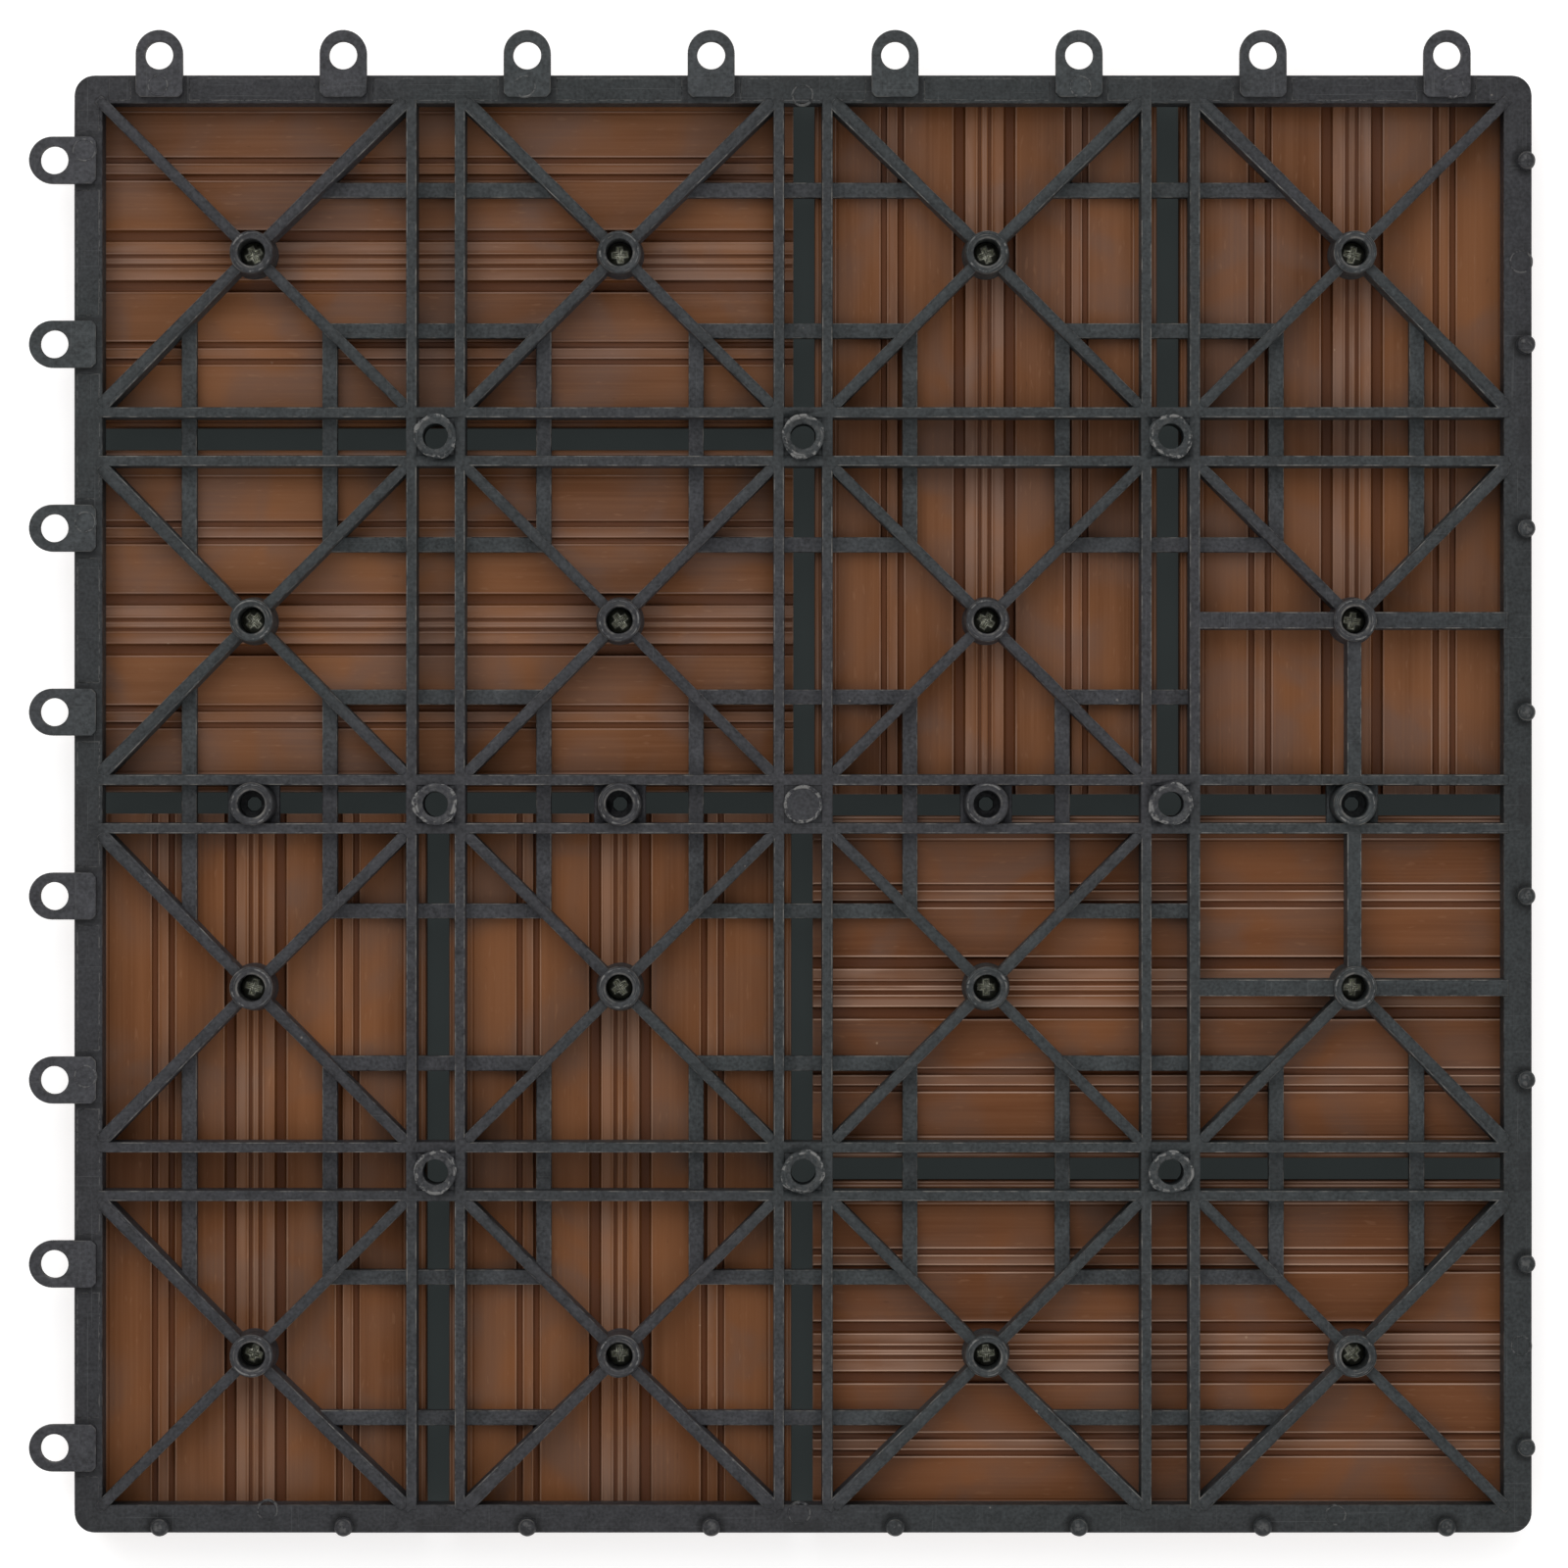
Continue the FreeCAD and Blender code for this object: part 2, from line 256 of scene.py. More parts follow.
def specks_group():
    """Dust and chips: a share of the cells of a cell pattern hold a round speck."""
    group, start, end = new_group(
        "dust_specks",
        [("Vector", "NodeSocketVector", None), ("Scale", "NodeSocketFloat", 300.0),
         ("Share", "NodeSocketFloat", 0.08), ("Size", "NodeSocketFloat", 0.22)],
        [("Mask", "NodeSocketFloat")])
    cells = add(group, "ShaderNodeTexVoronoi",
                {"Vector": start.outputs["Vector"], "Scale": start.outputs["Scale"]})
    split = add(group, "ShaderNodeSeparateColor", {0: cells.outputs["Color"]})
    chosen = maths(group, "LESS_THAN", split.outputs[0], start.outputs["Share"])
    radius = product(group, split.outputs[1], start.outputs["Size"])
    inside = maths(group, "SUBTRACT", radius, cells.outputs["Distance"])
    soft = fade(group, inside, 0.0, 0.06)
    group.links.new(product(group, soft, chosen), end.inputs["Mask"])
    return group


def mottle_group():
    """Uneven colour at three scales, put out as one factor about 1 and one height."""
    group, start, end = new_group(
        "mottle",
        [("Vector", "NodeSocketVector", None), ("Broad", "NodeSocketFloat", 0.1),
         ("Medium", "NodeSocketFloat", 0.1), ("Fine", "NodeSocketFloat", 0.1)],
        [("Factor", "NodeSocketFloat"), ("Height", "NodeSocketFloat")])
    place = start.outputs["Vector"]
    total = 1.0
    scales = [("Broad", 28.0, 2.0), ("Medium", 260.0, 2.0), ("Fine", 1500.0, 1.0)]
    for socket, scale, detail in scales:
        grey = maths(group, "SUBTRACT", noise(group, place, scale, detail), 0.5)
        total = maths(group, "ADD", total, product(group, start.outputs[socket], 4.0, grey))
    group.links.new(largest(group, total, 0.2), end.inputs["Factor"])
    grain = noise(group, place, 2200.0, 1.0)
    waves = noise(group, place, 220.0, 1.0)
    height = maths(group, "ADD", grain, product(group, waves, 2.0))
    group.links.new(height, end.inputs["Height"])
    return group


specks = specks_group()
mottle = mottle_group()


def use_group(tree, group, **inputs):
    """A group placed in a material with its own values."""
    node = tree.nodes.new("ShaderNodeGroup")
    node.node_tree = group
    for key, value in inputs.items():
        if isinstance(value, bpy.types.NodeSocket):
            tree.links.new(value, node.inputs[key])
        else:
            node.inputs[key].default_value = value
    return node


def new_material(name):
    """An empty material, its tree, its Principled shader and its own coordinates."""
    material = bpy.data.materials.new(name)
    material.use_nodes = True
    tree = material.node_tree
    shader = tree.nodes["Principled BSDF"]
    place = tree.nodes.new("ShaderNodeTexCoord").outputs["Object"]
    return material, tree, shader, place


def scaled_colour(tree, colour, factor):
    """A colour times a factor that changes over the surface."""
    grey = add(tree, "ShaderNodeCombineColor", {0: factor, 1: factor, 2: factor}).outputs[0]
    return blend(tree, 1.0, colour, grey, "MULTIPLY")


def set_bump(tree, shader, strength, distance, height):
    """Bends the shader's normal by a height."""
    inputs = {"Strength": strength, "Distance": distance, "Height": height}
    bump = add(tree, "ShaderNodeBump", inputs)
    tree.links.new(bump.outputs[0], shader.inputs["Normal"])


def square_reach(tree, split):
    """The larger of a place's distances from the tile's middle in x and in y."""
    return largest(tree, *(maths(tree, "ABSOLUTE", split.outputs[axis]) for axis in (0, 1)))


def folded(tree, place, pitch, pitches):
    """A place on an axis, moved by a number of pitches and folded into one of them. It
    is given as its distance from that pitch's middle; the pitch is in millimetres."""
    moved = maths(tree, "ADD", place, pitches * pitch * MM)
    return maths(tree, "SUBTRACT", maths(tree, "MODULO", moved, pitch * MM), pitch * MM / 2)


def level_band(tree, height_z, low, high):
    """A mask of the heights between low and high, with soft ends."""
    soft = 0.04
    return product(tree, fade_mm(tree, height_z, low - soft, low),
                   fade_mm(tree, height_z, high, high + soft, 1.0, 0.0))


def strip_distances(tree, split):
    """How far a place is, in x and in y, from the middle of the nearest strip."""
    return [maths(tree, "ABSOLUTE", folded(tree, split.outputs[axis], CELL_PITCH, 3.5))
            for axis in (0, 1)]


def pin_shade(tree, split):
    """A mask of the painted shade in a dark ring round each pin. Along a side the place is
    folded into one pin pitch, so that one distance serves all the pins of that side."""
    x, y = split.outputs[0], split.outputs[1]
    masks = []
    for along, across, side in ((y, x, 1.0), (x, y, -1.0)):
        u = folded(tree, along, LOOP_PITCH, 4)
        v = maths(tree, "SUBTRACT", product(tree, across, side), PIN_LINE * MM)
        squares = maths(tree, "ADD", product(tree, u, u), product(tree, v, v))
        masks.append(fade_mm(tree, maths(tree, "SQRT", squares), 2.3, 3.4, 1.0, 0.0))
    return largest(tree, *masks)


def loop_shade(tree, split):
    """A mask of the painted shade on the narrow strips of the rim's face beside the loops.
    Along a side the place is folded into one loop pitch, as it is for the pins."""
    x, y, z = split.outputs
    masks = []
    for along, across in ((x, y), (y, product(tree, x, -1.0))):
        u = maths(tree, "ABSOLUTE", folded(tree, along, LOOP_PITCH, 4))
        masks.append(product(tree, fade_mm(tree, u, EAR_HALF - 0.15, EAR_HALF),
                             fade_mm(tree, u, EAR_HALF + 0.5, EAR_HALF + 1.3, 1.0, 0.0),
                             fade_mm(tree, across, RIM_INNER - 0.5, RIM_INNER)))
    return product(tree, largest(tree, *masks), fade_mm(tree, z, RIM_Z - 0.4, RIM_Z - 0.1),
                   fade_mm(tree, z, RIM_Z + 0.2, RIM_Z + 0.6, 1.0, 0.0))


# Levels between which the rounded edges of the bars, the rim, the ribs and the loops lie
EDGE_BANDS = [(13.27, 13.45), (18.97, 19.13), (19.34, 19.46), (21.45, 21.65)]


def edge_wear_and_highlight(tree, split, reach, from_crossing):
    """A mask of the rounded edges, painted pale partly as wear and partly as a painted
    highlight: their levels, where the surface leans and neither stands nor lies. It is
    weaker on the rim and left out inside the crossings."""
    edges = 0.0
    for low, high in EDGE_BANDS:
        edges = maths(tree, "ADD", edges, level_band(tree, split.outputs[2], low, high))
    normal = add(tree, "ShaderNodeNewGeometry").outputs["True Normal"]
    lean = add(tree, "ShaderNodeSeparateXYZ", {0: normal}).outputs[2]
    return product(tree, edges,
                   fade_mm(tree, reach, RIM_INNER - 0.5, RIM_INNER + 0.2, 1.0, 0.40),
                   fade(tree, lean, 0.15, 0.30), fade(tree, lean, 0.96, 0.985, 1.0, 0.0),
                   fade_mm(tree, from_crossing, 6.1, 6.5))


def scratches(tree, place):
    """A mask of fine scratches along both ways of the tile."""
    lines = [noise(tree, stretched(tree, place, scale), 1.0, 1.0)
             for scale in ((40.0, 2600.0, 300.0), (2600.0, 40.0, 300.0))]
    return largest(tree, *(fade(tree, line, 0.68, 0.76) for line in lines))


def grid_plastic():
    """Charcoal moulded plastic: fine spark grain, flow marks, pale flash on the tips,
    worn edges with a painted highlight, painted shade in a dark ring round each pin,
    painted shade beside the loops and in the crossings, painted light on the bars and the
    loops, painted shade on the rim, dust, and scratches."""
    material, tree, shader, place = new_material("moulded_grid")
    uneven = use_group(tree, mottle, Vector=place, Broad=0.10, Medium=0.22, Fine=0.40)
    patches = noise(tree, place, 700.0, 2.0, 0.75)
    split = add(tree, "ShaderNodeSeparateXYZ", {0: place})
    height_z = split.outputs[2]
    reach = square_reach(tree, split)
    from_crossing = largest(tree, *strip_distances(tree, split))
    rim_top = level_band(tree, height_z, RIM_Z - 0.2, RIM_Z + 0.2)
    at_pin = pin_shade(tree, split)
    on_ear = product(tree, fade_mm(tree, height_z, EAR_Z - 0.5, EAR_Z - 0.2),
                     fade_mm(tree, reach, RIM_INNER - 2.0, RIM_INNER - 1.8),
                     without(tree, at_pin))
    # Painted light at the bars and on the loops, painted shade on the rim and round the pins
    factor = product(tree, uneven.outputs["Factor"],
                     fade_mm(tree, height_z, 12.5, 16.5, 1.42, 1.0),
                     fade_mm(tree, reach, RIM_INNER - 0.5, RIM_INNER, 1.08, 0.84),
                     fade(tree, on_ear, 0.0, 1.0, 1.0, 1.6),
                     without(tree, product(tree, at_pin, rim_top), 0.6))
    violet, teal = (0.0296, 0.0299, 0.0334), (0.0272, 0.0309, 0.0324)
    side = fade(tree, noise(tree, place, 9.0, 1.0), 0.42, 0.58)
    colour = scaled_colour(tree, blend(tree, side, violet, teal), factor)
    flash = add(tree, "ShaderNodeAttribute", attribute_name="pale_flash").outputs["Fac"]
    tips = largest(tree, fade_mm(tree, height_z, FOOT_Z - 0.22, FOOT_Z - 0.06), flash)
    worn = fade(tree, patches, 0.45, 0.58)
    # Painted shade on the plate of each crossing, round its middle
    plate_shade = product(tree, fade_mm(tree, from_crossing, 3.9, 4.1, 1.0, 0.0),
                       fade_mm(tree, height_z, RIB_Z - 0.2, RIB_Z, 1.0, 0.0))
    broken = fade(tree, noise(tree, place, 300.0, 3.0, 0.7), 0.42, 0.66, 0.04, 0.85)
    dust = use_group(tree, specks, Vector=place, Scale=420.0, Share=0.03, Size=0.16)
    colour = layered(tree, colour, [
        (product(tree, tips, worn, without(tree, at_pin, 0.65), 0.7), (0.245, 0.241, 0.234)),
        # Painted shade beside the loops
        (product(tree, loop_shade(tree, split), 0.6), (0.010, 0.010, 0.011)),
        # Painted shade in the crossings' plates
        (product(tree, plate_shade, 0.45), (0.012, 0.012, 0.013)),
        # Pale worn edges, partly a painted highlight
        (product(tree, edge_wear_and_highlight(tree, split, reach, from_crossing), broken),
         (0.190, 0.180, 0.165)),
        (product(tree, scratches(tree, place), 0.30), (0.085, 0.087, 0.090)),
        (product(tree, dust.outputs["Mask"], 0.5), (0.22, 0.20, 0.18)),
    ])
    tree.links.new(colour, shader.inputs["Base Color"])
    tree.links.new(fade(tree, patches, 0.3, 0.7, 0.44, 0.64), shader.inputs["Roughness"])
    shader.inputs["Specular IOR Level"].default_value = 0.20
    inward = fade_mm(tree, reach, RIM_INNER, RIM_INNER + 1.8)
    outward = fade_mm(tree, reach, RIM_HALF - 1.7, RIM_HALF)
    rounding = product(tree, maths(tree, "SUBTRACT", inward, outward), rim_top, 3.5)
    height = maths(tree, "ADD", uneven.outputs["Height"], rounding)
    set_bump(tree, shader, 0.45, 0.00008, height)
    return material


def slat_composite():
    """Brown wood-plastic composite with a smooth extruded skin: faint lines drawn out
    along the slat, greyish clouds, wood fibres, tan flecks, painted shade in the grooves,
    painted highlights on the lips, and painted shade along the ribs. The slat's own UV map
    runs across and along it in metres; its own attributes say how light it is, partly as
    painted light, and where its groove shade and lip highlights are painted."""
    material, tree, shader, place = new_material("composite_slat")
    uv = add(tree, "ShaderNodeUVMap", uv_map="slat_lines").outputs[0]
    tint = add(tree, "ShaderNodeAttribute", attribute_name="slat_tint").outputs["Color"]
    groove, lip = [add(tree, "ShaderNodeAttribute", attribute_name=name).outputs["Fac"]
                   for name in ("slat_groove_shade", "slat_lip_highlight")]
    fine = noise(tree, stretched(tree, uv, (1700.0, 22.0, 1.0)), 1.0, 1.0, 0.6)
    broad = noise(tree, stretched(tree, uv, (150.0, 9.0, 1.0)), 1.0, 3.0, 0.55, 0.4)
    fibre = noise(tree, stretched(tree, uv, (1100.0, 240.0, 1.0)), 1.0, 1.0, 0.6)
    patch = noise(tree, stretched(tree, uv, (26.0, 15.0, 1.0)), 1.0, 2.0, 0.5)
    cloud = noise(tree, uv, 45.0, 2.0, 0.55, 0.8)
    broken = noise(tree, stretched(tree, uv, (260.0, 30.0, 1.0)), 1.0, 2.0)
    flecks = use_group(tree, specks, Vector=place, Scale=330.0, Share=0.03, Size=0.13)
    brown, light_brown = (0.188, 0.069, 0.0225), (0.254, 0.101, 0.0385)
    colour = blend(tree, fade(tree, broad, 0.30, 0.70), brown, light_brown)
    colour = layered(tree, colour, [
        (fade(tree, patch, 0.46, 0.72, 0.0, 0.50), (0.330, 0.132, 0.050)),
        (fade(tree, patch, 0.52, 0.28, 0.0, 0.50), (0.128, 0.042, 0.011)),
        (fade(tree, cloud, 0.38, 0.70, 0.0, 0.62), (0.168, 0.101, 0.076)),
        (fade(tree, fine, 0.40, 0.72, 0.0, 0.22), (0.30, 0.135, 0.062)),
        (fade(tree, fibre, 0.64, 0.76, 0.0, 0.25), (0.36, 0.185, 0.10)),
        (fade(tree, fibre, 0.28, 0.18, 0.0, 0.25), (0.080, 0.030, 0.011)),
        (product(tree, flecks.outputs["Mask"], 0.55), (0.55, 0.40, 0.27)),
        # Painted shade in the grooves
        (product(tree, groove, 0.80), (0.085, 0.022, 0.004)),
        # Painted highlights on the lips and the pale bands
        (product(tree, lip, fade(tree, broken, 0.36, 0.60, 0.35, 1.0)), (0.56, 0.38, 0.295)),
    ])
    colour = blend(tree, 1.0, colour, tint, "MULTIPLY")
    split = add(tree, "ShaderNodeSeparateXYZ", {0: place})
    # Painted shade on the slats near the ribs, darker closer to each strip's middle
    rib_shade = product(tree, *(fade_mm(tree, off, 4.5, 11.0, 0.82, 1.0)
                            for off in strip_distances(tree, split)))
    inside = fade_mm(tree, split.outputs[2], GRID_Z - 2.0, GRID_Z - 1.0)
    colour = scaled_colour(tree, colour, fade(tree, inside, 0.0, 1.0, 1.0, rib_shade))
    tree.links.new(colour, shader.inputs["Base Color"])
    tree.links.new(fade(tree, broad, 0.35, 0.7, 0.50, 0.38), shader.inputs["Roughness"])
    shader.inputs["Specular IOR Level"].default_value = 0.13
    ridges = maths(tree, "ADD", fine, product(tree, fibre, 0.6))
    set_bump(tree, shader, 0.18, 0.00010, maths(tree, "ADD", ridges, cloud))
    return material


def screw_steel():
    """Yellowed zinc-plated steel, dark and dull but for a painted glint on the edges of
    the cross recess, which the head's own attribute of the recess edge marks."""
    material, tree, shader, place = new_material("screw_steel")
    edge = add(tree, "ShaderNodeAttribute", attribute_name="recess_edge_glint").outputs["Fac"]
    uneven = use_group(tree, mottle, Vector=place, Broad=0.05, Medium=0.20, Fine=0.16)
    patchy = fade(tree, noise(tree, place, 1300.0, 2.0), 0.40, 0.58, 0.45, 1.0)
    dull, glint = (0.070, 0.073, 0.055), (0.88, 0.89, 0.73)
    colour = blend(tree, product(tree, edge, patchy), dull, glint)
    colour = scaled_colour(tree, colour, uneven.outputs["Factor"])
    tree.links.new(colour, shader.inputs["Base Color"])
    shader.inputs["Metallic"].default_value = 0.6
    rough = noise(tree, place, 900.0, 2.0)
    tree.links.new(fade(tree, rough, 0.3, 0.7, 0.25, 0.48), shader.inputs["Roughness"])
    set_bump(tree, shader, 0.25, 0.00006, uneven.outputs["Height"])
    return material


plastic = grid_plastic()
composite = slat_composite()
steel = screw_steel()


# Width of the rounded edges, the least angle that is rounded, and how far round a pin
# and round a crossing's middle nothing is
EDGE_WIDTH = 0.26
SHARP_ANGLE = 30
PIN_REACH = 2.4
CROSSING_REACH = 4.2


def from_middle(place, pitch, pitches):
    """A place on an axis, moved by a number of pitches and folded into one of them: its
    distance from that pitch's middle."""
    return (place + pitches * pitch) % pitch - pitch / 2


def mark_rounded(work):
    """Gives a bevel weight to the edges that stand out by SHARP_ANGLE or more, but for
    those of the pins and those inside a crossing of the strips."""
    layer = work.edges.layers.float.new("bevel_weight_edge")
    for edge in work.edges:
        if not edge.is_convex or edge.calc_face_angle(0.0) < math.radians(SHARP_ANGLE):
            continue
        x, y, z = (edge.verts[0].co + edge.verts[1].co) / (2 * MM)
        to_pin = min(math.hypot(x - PIN_LINE, from_middle(y, LOOP_PITCH, 4)),
                     math.hypot(y + PIN_LINE, from_middle(x, LOOP_PITCH, 4)))
        to_crossing = max(abs(from_middle(x, CELL_PITCH, 3.5)),
                          abs(from_middle(y, CELL_PITCH, 3.5)))
        at_pin = to_pin < PIN_REACH and z > RIM_Z - 0.4
        at_crossing = to_crossing < CROSSING_REACH and z > RIM_Z - 0.6
        edge[layer] = 0.0 if at_pin or at_crossing else 1.0


def grid_shell():
    """The moulded grid with its edges rounded: the merged solid, bevelled. Its foot and
    pin tips are lowered, because the turned sleeves below stand for them."""
    mesh = nodes["base_grid"].data.copy()
    work = bmesh.new()
    work.from_mesh(mesh)
    bmesh.ops.remove_doubles(work, verts=work.verts, dist=2e-6)
    bmesh.ops.dissolve_limit(work, angle_limit=math.radians(0.5),
                             verts=work.verts, edges=work.edges)
    bmesh.ops.recalc_face_normals(work, faces=work.faces)
    mark_rounded(work)
    work.to_mesh(mesh)
    work.free()
    points = mesh_points(mesh)
    at_tip = points[:, 2] > FOOT_Z - 0.05
    at_rim = np.abs(points[:, :2]).max(1) > RIM_INNER + 1
    points[at_tip, 2] = FOOT_Z - 0.7
    points[at_tip & at_rim, 2] = RIM_Z + 0.2
    mesh.vertices.foreach_set("co", (points * MM).astype(np.float32).ravel())
    shell = bpy.data.objects.new("grid_shell", mesh)
    bpy.context.scene.collection.objects.link(shell)
    finish_piece(shell, plastic, "base_grid", 30.0)
    bevel = shell.modifiers.new("rounded_edges", "BEVEL")
    bevel.width = EDGE_WIDTH * MM
    bevel.segments = 2
    bevel.limit_method = "WEIGHT"
    bevel.use_clamp_overlap = False
    bevel.harden_normals = True


def placed(profile, places, seed, closed, uneven, flare):
    """One form turned at each of several places, each with a seed of its own."""
    return [(profile, place, seed + number, closed, uneven, flare)
            for number, place in enumerate(places)]


def boss_forms():
    """Sleeves round the screw bosses: a tapered outside, a tip that rises to a thin
    uneven crest of flash, and the bore down to its floor."""
    profile = [(4.93, GRID_Z), (4.40, 21.1), (4.38, 21.5), (4.28, 21.75), (4.10, 21.93),
               (3.92, FOOT_Z), (3.74, 21.9), (3.55, 21.72), (3.2, 21.64), (2.92, 21.56),
               (2.78, 21.40), (2.73, 21.1), (2.72, 11.3), (2.72, 10.6), (3.4, 10.4)]
    places = [(x, y) for x in CELL for y in CELL + [0.0]]
    return placed(profile, places, 10, True, 0.012, 0.26)


def tube_forms():
    """Sleeves round the open tubes at the crossings, with thicker flash on their tips."""
    profile = [(4.28, 17.0), (4.28, 21.2), (4.26, 21.55), (4.20, 21.82), (4.05, 21.97),
               (3.84, FOOT_Z), (3.62, 21.93), (3.42, 21.72), (3.1, 21.6), (2.78, 21.5),
               (2.62, 21.35), (2.57, 21.1), (2.57, 10.3), (3.4, 10.3)]
    return placed(profile, CROSSINGS, 60, True, 0.026, 0.30)


def flash_forms():
    """Torn fins of flash: one round the tip of each tube, and two on the edge of the
    blind disc, which dip under its face on part of their way."""
    tube = [(3.90, 21.5), (4.26, 21.60), (4.42, 21.74), (4.26, 21.90), (3.96, FOOT_Z),
            (3.74, 21.8)]
    disc = [(3.22, 20.35), (3.40, 20.76), (3.58, 20.88), (3.78, 20.76), (3.90, 20.2)]
    return placed(tube, CROSSINGS, 200, True, 0.12, 0.32) + [
        (disc, (0.10, 0.05), 223, True, 0.035, 0.26),
        (disc, (-0.12, -0.10), 229, True, 0.045, 0.26)]


def pin_forms():
    """The pins: a round shaft that ends in a small dome with a flat middle."""
    profile = [(1.93, GRID_Z + 0.3), (1.93, 20.5), (1.90, 20.9), (1.80, 21.3), (1.64, 21.62),
               (1.38, 21.84), (1.0, 21.95), (0.5, FOOT_Z)]
    places = [(PIN_LINE, u) for u in LOOPS] + [(u, -PIN_LINE) for u in LOOPS]
    return placed(profile, places, 90, False, 0.018, 0.18)


def disc_forms():
    """The raised disc that closes the tube in the middle of the tile, with its flash."""
    profile = [(3.78, RIB_Z - 1.0), (3.76, 20.30), (3.68, 20.50), (3.52, 20.60), (3.3, 20.62),
               (2.6, 20.60), (0.8, 20.6)]
    return placed(profile, [(0.0, 0.0)], 120, False, 0.015, 0.10)


# The halves of two cells of the last column that have no diagonals: row and side
OPEN_HALVES = [(2, -1), (1, 1)]


def crown_arms():
    """Start and end of the rounded top of each diagonal, from its boss to where it dies
    out over the crossing or the rim, in the cells that have all or half of a cross."""
    arms = []
    for column, x in enumerate(CELL):
        for row, y in enumerate(CELL):
            for side_x in (-1, 1):
                for side_y in (-1, 1):
                    if column == 3 and (row, side_y) in OPEN_HALVES:
                        continue
                    corner = []
                    for index, middle, side in ((column, x, side_x), (row, y, side_y)):
                        if 0 <= index + side <= 3:
                            corner.append(middle + side * (CELL_PITCH / 2 - RIB_OFFSET - 1.25))
                        else:
                            corner.append(side * (RIM_INNER + 0.75))
                    arms.append(((x, y), tuple(corner)))
    return arms


def make_crowns():
    """Rounded tops of the diagonals. Over (station, angle) a point lies on a half
    ellipse, whose width and height shrink as a circle does towards the outer end."""
    angle = np.concatenate([np.linspace(0, math.pi, 11), [math.pi * 1.25, math.pi * 1.75]])
    half, rise, sink = 1.12, 0.36, 0.12
    base = RIB_Z - sink
    points, faces, first = [], [], 0
    for number, (start, end) in enumerate(crown_arms()):
        start, end = np.array(start), np.array(end)
        length = np.linalg.norm(end - start)
        ahead = (end - start) / length
        aside = np.array([-ahead[1], ahead[0]])
        tail = half * (1 - np.cos(np.linspace(0.12, math.pi / 2, 7)))
        station = np.concatenate([np.linspace(3.6, length - half, 12), length - tail[::-1][1:]])
        left = np.clip((length - station) / half, 0, 1)
        width = half * np.sqrt(1 - (1 - left) ** 2)[:, None]
        wave = 1 + 0.03 * np.sin(station * 0.9 + number)[:, None]
        across = width * np.cos(angle)[None, :] * wave
        level = np.where(np.sin(angle) > 0, np.sin(angle) * (rise + sink), np.sin(angle) * 0.3)
        height = base + level[None, :] * (width / half)
        flat = start + station[:, None, None] * ahead + across[..., None] * aside
        points.append(np.concatenate([flat, height[..., None]], -1).reshape(-1, 3))
        faces.extend(capped(station.size, angle.size, first))
        first += station.size * angle.size
    piece = make_piece("diagonal_crowns", np.concatenate(points), faces, plastic,
                       smooth_angle=50.0)
    low = mesh_points(piece.data)[:, 2] < base + 0.2
    set_values(piece.data, "pale_flash", np.where(low, 0.45, 0.0))


def make_lands():
    """Slightly raised lands of the rim between the loops, on the two sides that have
    loops. Each is a flat top with sloped edges, a little way off the loops."""
    gap, slope, rise, sink = EAR_HALF + 0.95, 0.4, 0.30, 0.12
    lands = [(low + gap, high - gap) for low, high in zip(LOOPS[:-1], LOOPS[1:])]
    lands += [(-RIM_INNER + 1.0, LOOPS[0] - gap), (LOOPS[-1] + gap, RIM_INNER - 1.0)]
    levels = np.array([0.0, 1.0, 1.0, 0.0])
    outline = [0, 1, 2, 3, 7, 11, 15, 14, 13, 12, 8, 4]
    points, faces, first = [], [], 0
    for side in ("north", "west"):
        for low, high in lands:
            along = np.array([low, low + slope, high - slope, high])[:, None]
            across = np.array([RIM_HALF - 0.3, RIM_HALF - 0.8,
                               RIM_INNER + 0.8, RIM_INNER + 0.3])[None, :]
            z = RIM_Z - sink + rise * levels[:, None] * levels[None, :]
            x, y = np.broadcast_to(along, z.shape), np.broadcast_to(across, z.shape)
            if side == "west":
                x, y = -y, x
            points.append(np.stack([x, y, z], -1).reshape(-1, 3))
            faces.extend(quads(4, 4, first, wrap_columns=False).tolist())
            faces.append([first + k for k in outline])
            first += 16
    piece = make_piece("rim_lands", np.concatenate(points), faces, plastic,
                       smooth_angle=25.0)
    place = mesh_points(piece.data)
    at_edge = place[:, 2] < RIM_Z
    at_loop = np.abs(place[:, :2]).min(1) < RIM_INNER - 2
    set_values(piece.data, "pale_flash", np.where(at_edge & at_loop, 0.9, 0.0))


# Ejector marks measured on the photograph: x, y and level of the face they are on
MARKS = [(-0.1, 144.7, RIM_Z + 0.17), (-56.7, 146.3, EAR_Z), (56.5, 146.3, EAR_Z),
         (132.4, 146.3, EAR_Z), (-146.3, 57.5, EAR_Z), (-146.3, -55.5, EAR_Z),
         (-109.3, -144.1, RIM_Z), (-0.8, -144.7, RIM_Z), (-131.5, 146.5, EAR_Z),
         (-146.5, 133.3, EAR_Z), (108.7, -145.1, RIM_Z), (146.5, 110.7, RIM_Z),
         (146.5, -110.5, RIM_Z)]


def mark_forms():
    """Thin rings round the ejector marks, which fade out on part of their way."""
    forms = []
    for number, (x, y, z) in enumerate(MARKS):
        radius = 2.05 + 0.12 * math.sin(3.0 * number)
        profile = [(radius + 0.34, z - 0.1), (radius + 0.10, z + 0.22),
                   (radius - 0.06, z + 0.22), (radius - 0.26, z - 0.1)]
        forms.append((profile, (x, y), 140 + number, True, 0.03, 0.16))
    return forms


